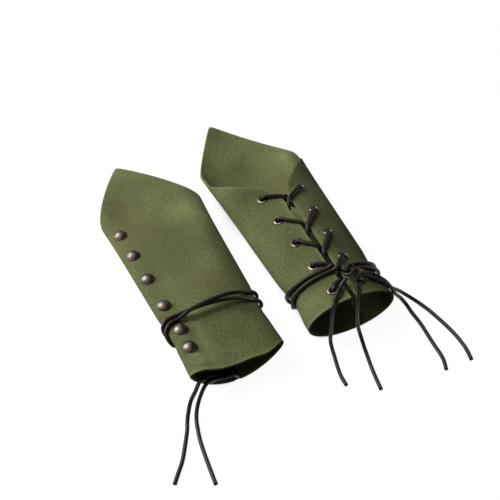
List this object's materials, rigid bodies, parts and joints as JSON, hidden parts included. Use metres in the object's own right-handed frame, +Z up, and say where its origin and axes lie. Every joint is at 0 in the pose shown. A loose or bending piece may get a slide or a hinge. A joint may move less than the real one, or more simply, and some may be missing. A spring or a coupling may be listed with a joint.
{
  "type": "laced leather bracer pair",
  "caption": "Pair of soft leather forearm bracers with a pointed elbow end, laced palm side, domed rivets and cord wound round the wrist.",
  "frame": {"origin": "middle of the floor area under the two bracers, measured without the cord tails", "axes": "+Y from the wrist ends to the pointed elbow ends, +X from the left bracer to the right bracer, +Z up"},
  "size_m": [0.2568, 0.3651, 0.0527],
  "materials": {
    "green_suede": "matte suede nap",
    "lace_cord": "satin",
    "rivet_metal": "satin gunmetal",
    "post_metal": "satin",
    "eyelet_metal": "antique nickel",
    "washer_brass": "satin"
  },
  "bodies": {
    "right_shell": {"right_leather_shell": "green_suede", "right_rivet_domes": "rivet_metal", "right_rivet_posts": "post_metal", "right_shell_eyelets": "eyelet_metal", "right_shell_washers": "washer_brass", "right_lace": "lace_cord", "right_wrist_wrap": "lace_cord", "right_tail_a": "lace_cord", "right_tail_b": "lace_cord", "right_tail_c": "lace_cord", "right_tail_d": "lace_cord"},
    "right_flap": {"right_leather_flap": "green_suede", "right_flap_eyelets": "eyelet_metal", "right_flap_washers": "washer_brass", "right_knot": "lace_cord"},
    "left_base": {"left_leather_flap": "green_suede", "left_flap_eyelets": "eyelet_metal", "left_flap_washers": "washer_brass", "left_lace": "lace_cord"},
    "left_shell": {"left_leather_shell": "green_suede", "left_rivet_domes": "rivet_metal", "left_rivet_posts": "post_metal", "left_shell_eyelets": "eyelet_metal", "left_shell_washers": "washer_brass", "left_wrist_wrap": "lace_cord", "left_tail_a": "lace_cord", "left_tail_b": "lace_cord"}
  },
  "joints": [
    {"name": "right_flap_fold", "type": "hinge", "parent": "right_shell", "child": "right_flap", "pos_m": [0.0903, -0.13725, 0.0214], "axis": [0.0434, 0.999, 0.006], "range_deg": [0, 20], "deforming": ["right_lace", "right_wrist_wrap", "right_tail_a", "right_tail_b", "right_tail_c", "right_tail_d"]},
    {"name": "left_lift", "type": "slide", "parent": "right_shell", "child": "left_base", "axis": [0, 0, 1], "range_m": [0, 0.12]},
    {"name": "left_shell_fold", "type": "hinge", "parent": "left_base", "child": "left_shell", "pos_m": [-0.0127, -0.14575, 0.02988], "axis": [0.0433, 0.9968, -0.0674], "range_deg": [0, 20], "deforming": ["left_lace", "left_wrist_wrap", "left_tail_a", "left_tail_b"]}
  ]
}
